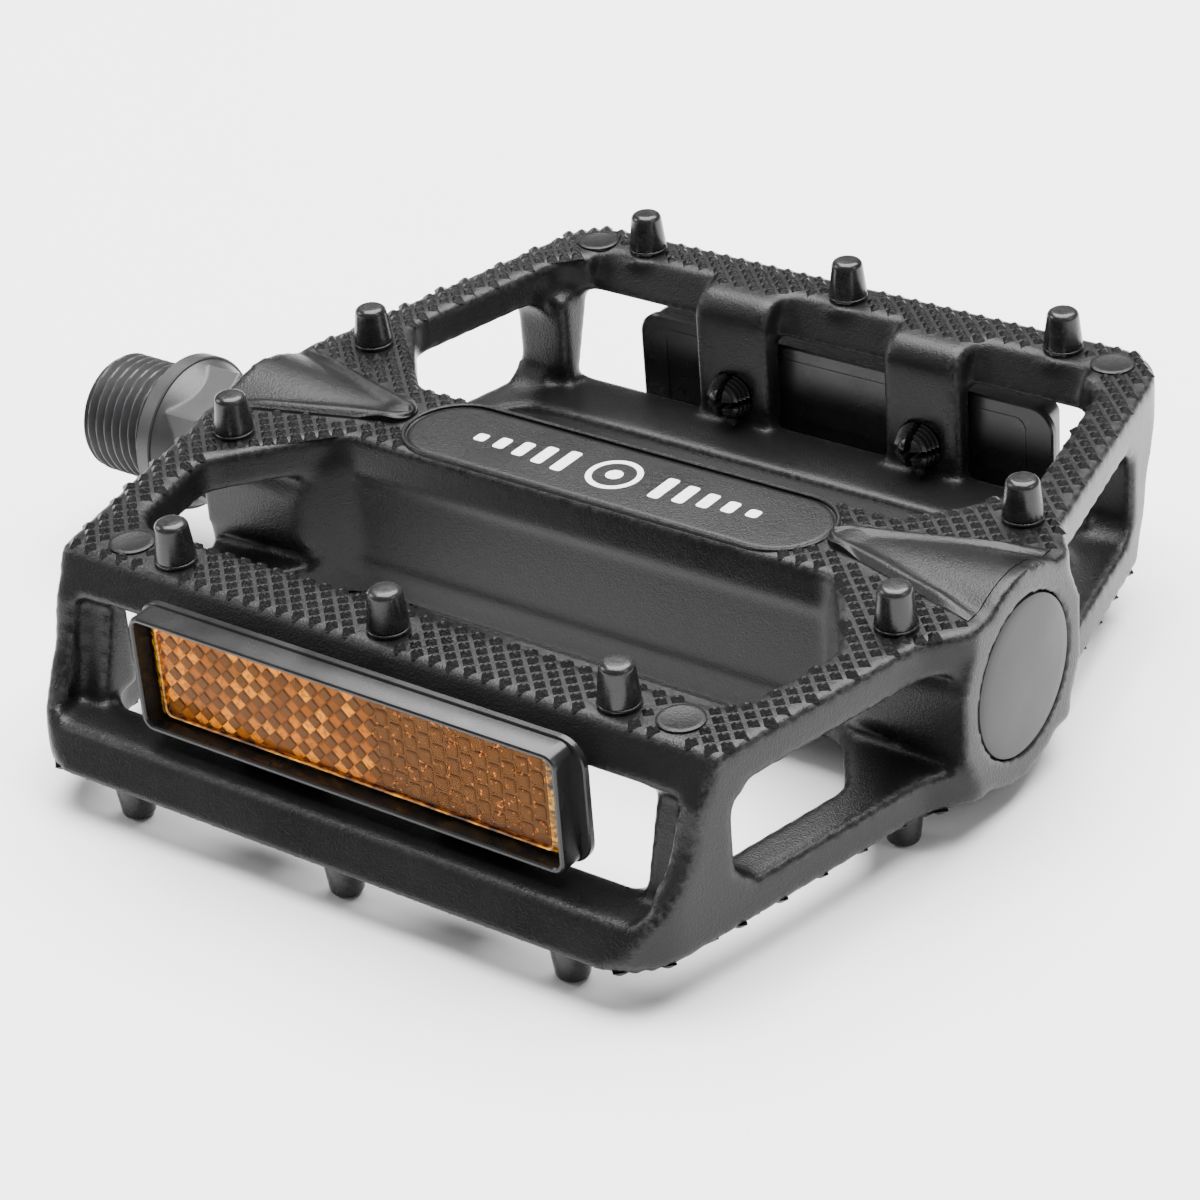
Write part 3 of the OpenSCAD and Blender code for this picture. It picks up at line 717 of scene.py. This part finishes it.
def make_spindle():
    """The spindle as rings whose radius follows a rule at each angle."""
    segments = 144
    stations = [(SPINDLE_LOW.x, lambda a: THREAD_R - 1.6)]
    stations += [(x, lambda a, x=x: thread_radius(x, a))
                 for x in np.arange(SPINDLE_LOW.x + 0.02, -0.02, 0.09)]
    bevel = 0.15
    collar = [(0.0, COLLAR_R - bevel), (bevel, COLLAR_R), (COLLAR_L - bevel, COLLAR_R),
              (COLLAR_L, COLLAR_R - bevel)]
    stations += [(x, lambda a, r=r: r) for x, r in collar]
    stations += [(x, lambda a, x=x: wrench_radius(x, a))
                 for x in np.arange(COLLAR_L + 0.02, WRENCH_END, 0.15)]
    ball_x = sum(c.x for c in box_mm("inboard_balls")) / 2
    ball_r = (box_mm("inboard_balls")[1].x - box_mm("inboard_balls")[0].x) / 2 + 0.1
    track = [(ball_x + ball_r * math.sin(t), BALL_PITCH_R - ball_r * math.cos(t))
             for t in np.linspace(-0.9, 0.75, 12)]
    seat = MID_X + (MID_X - ball_x)
    flange_x = ball_x - 3.6
    rest = [(WRENCH_END, NECK_R), (flange_x, NECK_R), (flange_x, FLANGE_R), (track[0][0], FLANGE_R)]
    rest += track + [(ball_x + 1.2, 5.4), (ball_x + 1.25, SHAFT_R), (seat - 10, SHAFT_R - 0.6),
                     (seat - 9, CONE_THREAD_R), (SPINDLE_HIGH.x, CONE_THREAD_R)]
    stations += [(x, lambda a, r=r: r) for x, r in rest]
    shape = Shape()
    angles = [2 * math.pi * i / segments for i in range(segments)]
    shape.loft([[(x, rule(a) * math.cos(a), rule(a) * math.sin(a)) for a in angles] for x, rule in stations])
    piece = shape.build("threaded_spindle", STEEL, smooth_angle=38)
    finish_piece(piece, "spindle", "spindle_steel", "spindle")


SPIGOT_IN, SPIGOT_OUT = 7.3, 8.1


def make_cap():
    """The domed dust cap, with the thin spigot behind its rim."""
    dome = 0.5
    x0 = CAP_HIGH.x - dome
    profile = [(x0 - 1.4, CAP_RADIUS), (x0 - 0.35, CAP_RADIUS), (x0 - 0.1, CAP_RADIUS - 0.1),
               (x0, CAP_RADIUS - 0.4)]
    profile += [(x0 + dome * (1 - f ** 2), CAP_RADIUS * f) for f in (0.92, 0.8, 0.6, 0.4, 0.2, 0.02)]
    shape = Shape()
    shape.loft([circle_loop(r, 96, lambda u, v, x=x: (x, u, v)) for x, r in profile])
    wall = [(CAP_LOW.x, SPIGOT_IN), (CAP_LOW.x, SPIGOT_OUT), (x0 - 1.35, SPIGOT_OUT),
            (x0 - 1.35, SPIGOT_IN), (CAP_LOW.x, SPIGOT_IN)]
    shape.loft([circle_loop(r, 96, lambda u, v, x=x: (x, u, v)) for x, r in wall], False, False)
    piece = shape.build("domed_dust_cap", CAP)
    finish_piece(piece, "platform", "cap_plastic", "dust_cap")


# ---- Reflectors ----

RIB_PITCH = 26.2
STUD_RISE = 0.9
HOUSING_DEPTH = 3.9
FLANGE_STEP = 1.1


def make_reflector(end):
    """One reflector: housing with its studs, prism cells, bevelled edge and clear face."""
    name = "front" if end < 0 else "back"
    low, high = box_mm(name + "_reflector_housing")
    lens_low, lens_high = box_mm(name + "_reflector_lens")
    middle_z = (low.z + high.z) / 2
    length, height = high.x - low.x, high.z - low.z
    front = max(abs(low.y), abs(high.y))
    plate = front - HOUSING_DEPTH

    def place(depth):
        return lambda u, v: (MID_X + u, end * (plate + depth), middle_z + v)

    def loops(rows, steps=8):
        return [rounded_rect_loop(w, h, r, steps, place(d)) for w, h, r, d in rows]

    rim = length - 2 * FLANGE_STEP
    shape = Shape()
    shape.loft(loops([
        (length - 0.5, height - 0.5, 2.75, 0.0), (length, height, 3.0, 0.22), (length, height, 3.0, 0.85),
        (length - 0.3, height - 0.3, 2.9, 1.0), (rim + 0.1, height - 0.5, 1.7, 1.02),
        (rim, height - 0.5, 1.6, 1.3), (rim, height - 0.5, 1.6, 3.4), (rim - 0.2, height - 0.7, 1.5, 3.75),
        (rim - 0.6, height - 1.1, 1.3, HOUSING_DEPTH), (rim - 1.1, height - 1.6, 1.1, 3.88),
        (rim - 1.4, height - 1.9, 1.0, 3.7), (rim - 1.5, height - 2.0, 1.0, 1.1)]))
    border = [(length - 7, height - 3.4, 1.5, 0.05), (length - 7, height - 3.4, 1.5, -0.08),
              (length - 7.8, height - 4.2, 1.2, -0.08), (length - 7.8, height - 4.2, 1.2, 0.05)]
    shape.loft(loops(border))
    for side in (-1, 1):
        for quarter in range(4):
            add_barb(shape, end, side * RIB_PITCH / 2, middle_z + end * STUD_RISE, plate, quarter)
    housing = shape.build(name + "_housing", HOUSING)
    finish_piece(housing, "platform", "housing_plastic", name + "_reflector_housing")

    lens_l, lens_h = lens_high.x - lens_low.x, lens_high.z - lens_low.z
    shape = Shape()
    shape.loft(loops([(lens_l - 0.4, lens_h - 0.4, 0.8, 1.15), (lens_l - 0.4, lens_h - 0.4, 0.8, 1.6),
                      (lens_l - 3.0, lens_h - 1.9, 0.8, 2.42), (lens_l - 3.4, lens_h - 2.3, 0.8, 2.36),
                      (lens_l - 3.4, lens_h - 2.3, 0.8, 1.8)], 5))
    edge = shape.build(name + "_lens_edge", EDGE, smooth_angle=25)
    finish_piece(edge, "platform", "amber_lens", name + "_reflector_lens")

    cells = make_cells(name, end, middle_z, lens_l - 3.2, lens_h - 2.1, plate)
    finish_piece(cells, "platform", "amber_lens")
    shape = Shape()
    shape.loft(loops([(lens_l - 3.5, lens_h - 2.4, 0.7, 2.3), (lens_l - 3.5, lens_h - 2.4, 0.7, 2.4),
                      (lens_l - 3.7, lens_h - 2.6, 0.6, 2.45)], 5))
    face = shape.build(name + "_lens_face", COVER)
    finish_piece(face, "platform", "amber_lens")


def add_barb(shape, end, x, z, plate, quarter):
    """A quarter of a split stud: its shank through the rib and a finned tip behind it."""
    profile = [(2.35, 0.2), (2.35, 3.55)]
    for fin in range(4):
        reach, depth = 2.85 - 0.2 * fin, 3.65 + 0.55 * fin
        profile += [(reach, depth), (reach, depth + 0.18)]
        profile += [(reach - 0.55, depth + 0.3), (reach - 0.55, depth + 0.45)]
    profile += [(1.5, 6.0), (1.0, 6.2), (0.7, 6.3)]
    half_slot = 0.45
    loops = []
    for radius, depth in profile:
        edge = math.asin(min(0.95, half_slot / radius))
        start = quarter * math.pi / 2 + edge
        span = math.pi / 2 - 2 * edge
        turns = [start + span * i / 8 for i in range(9)]
        arc = [(radius * math.cos(turn), radius * math.sin(turn)) for turn in turns]
        inner = quarter * math.pi / 2 + math.pi / 4
        arc.append((half_slot * 1.5 * math.cos(inner), half_slot * 1.5 * math.sin(inner)))
        loops.append([(MID_X + x + u, end * (plate - depth), z + v) for u, v in arc])
    shape.loft(loops)


def make_cells(name, end, middle_z, length, height, plate):
    """Rows of shallow prisms: diamonds along most of the length, rounded cells along the rest."""
    shape = Shape()
    base = 1.9

    def put(u, v, depth):
        return (MID_X - end * u, end * (plate + base + depth), middle_z + v)

    left, right = -length / 2, length / 2
    split = left + BRIGHT_SHARE * length
    low, high = -height / 2, height / 2
    corners = ((left, low), (right, low), (right, high), (left, high))
    shape.loft([[put(u, v, d) for u, v in corners] for d in (-0.5, 0.0)])
    step = CELL * math.sqrt(2)
    reach = int(length / step) + 2
    for i in range(-reach, reach):
        for j in range(-reach, reach):
            u, v = (i + j + 1) * step / 2, (i - j) * step / 2
            half = step / 2 * 0.96
            if u - half < left or u + half > split + step / 2 or abs(v) + half > height / 2:
                continue
            tilt = 0.14 if (i + j) % 2 == 0 else 0.05
            outer = [put(u + half, v, 0.0), put(u, v + half, 0.0),
                     put(u - half, v, 0.0), put(u, v - half, 0.0)]
            inner = [put(u + half * 0.8, v, tilt), put(u, v + half * 0.8, tilt + 0.05),
                     put(u - half * 0.8, v, tilt + 0.1), put(u, v - half * 0.8, tilt + 0.05)]
            shape.loft([outer, inner], cap_start=False)
    columns = int((right - split) / COLUMN)
    rows = int(height / ROW)
    for c in range(columns):
        for r in range(rows):
            u = split + (c + 0.75) * COLUMN
            v = (r - (rows - 1) / 2) * ROW + (0.4 if c % 2 else -0.4)
            if abs(v) + 0.85 > height / 2 or u + 0.8 > right:
                continue
            rings = [(1.6, 1.7, 0.0), (1.45, 1.55, 0.12), (1.1, 1.2, 0.2)]
            shape.loft([rounded_rect_loop(w, h, 0.35, 3, lambda a, b, d=d: put(u + a, v + b, d))
                        for w, h, d in rings], cap_start=False)
    material = prism_amber(name + "_prisms", MID_X, middle_z, length, -end)
    return shape.build(name + "_prism_cells", material, smooth_angle=15)


# ---- Camera, floor and light ----

CAMERA_TARGET = Vector((MID_X + 0.5, -1.1, -2.7)) * MM
CAMERA_DISTANCE = 398 * MM
CAMERA_AZIMUTH = math.radians(37.83)
CAMERA_ELEVATION = math.radians(30.01)
CAMERA_ROLL = math.radians(-4.52)


def make_camera():
    az, el, roll = CAMERA_AZIMUTH, CAMERA_ELEVATION, CAMERA_ROLL
    back = Vector((math.sin(az) * math.cos(el), -math.cos(az) * math.cos(el), math.sin(el)))
    level = Vector((math.cos(az), math.sin(az), 0))
    upright = back.cross(level)
    right = level * math.cos(roll) + upright * math.sin(roll)
    up = upright * math.cos(roll) - level * math.sin(roll)
    data = bpy.data.cameras.new("camera")
    data.lens = 109.03
    data.sensor_width = 36
    data.shift_x, data.shift_y = -0.0170, -0.0135
    data.clip_start = 0.01
    camera = bpy.data.objects.new("camera", data)
    turn = Matrix((right, up, back)).transposed()
    camera.matrix_world = Matrix.Translation(CAMERA_TARGET + back * CAMERA_DISTANCE) @ turn.to_4x4()
    bpy.context.scene.collection.objects.link(camera)
    bpy.context.scene.camera = camera


def make_floor():
    n = Nodes("pale_floor")
    cloud = n.noise(60, 2, 0.5)
    n.set(Base_Color=n.ramp(cloud, [(0.3, 0.93), (0.7, 0.95)]), Roughness=0.9)
    half, z = 2500, CAD_BOX[0][2] / MM - 0.05
    floor = make_object("floor", [(-half, -half, z), (half, -half, z), (half, half, z), (-half, half, z)],
                        [(0, 1, 2, 3)], [n.material])


def area_light(name, place, size, energy, shape_y=None):
    data = bpy.data.lights.new(name, "AREA")
    data.shape = "RECTANGLE"
    data.size, data.size_y = size, shape_y or size
    data.energy = energy
    lamp = bpy.data.objects.new(name, data)
    aim = Vector((MID_X, 0, 0)) * MM - Vector(place)
    lamp.matrix_world = Matrix.Translation(Vector(place)) @ aim.to_track_quat("-Z", "Y").to_matrix().to_4x4()
    bpy.context.scene.collection.objects.link(lamp)


def make_light():
    world = bpy.data.worlds.new("studio")
    bpy.context.scene.world = world
    world.use_nodes = True
    shade = world.node_tree.nodes["Background"]
    shade.inputs["Color"].default_value = (1, 1, 1, 1)
    shade.inputs["Strength"].default_value = 0.3
    area_light("overhead", (0.02, 0.2, 0.75), 0.9, 40)
    area_light("left", (-0.6, -0.25, 0.35), 0.35, 2.4)
    area_light("right", (0.65, 0.05, 0.35), 0.3, 0.9)


# ---- The whole ----


def make_all():
    finish_piece(make_body(), "platform", "cast_body", "body")
    for side in (1, -1):
        for make in (make_knurl, make_marks, make_fairings, make_panel, make_print):
            finish_piece(make(side), "platform", "cast_body")
    for group in ("front", "back", "inboard", "outboard"):
        make_pins("pins_top_" + group, 1)
        make_pins("pins_bottom_" + group, -1)
    make_spindle()
    make_cap()
    for end in (-1, 1):
        make_reflector(end)
    carried = {"inboard_seal": SEAL}
    for node in ("inboard_cup", "inboard_balls", "outboard_cup", "outboard_balls", "adjusting_cone",
                 "keyed_washer", "locknut"):
        carried[node] = BRIGHT
    for node, material in carried.items():
        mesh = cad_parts[node].data
        mesh.materials.clear()
        mesh.materials.append(material)


make_camera()
make_floor()
make_light()
make_all()
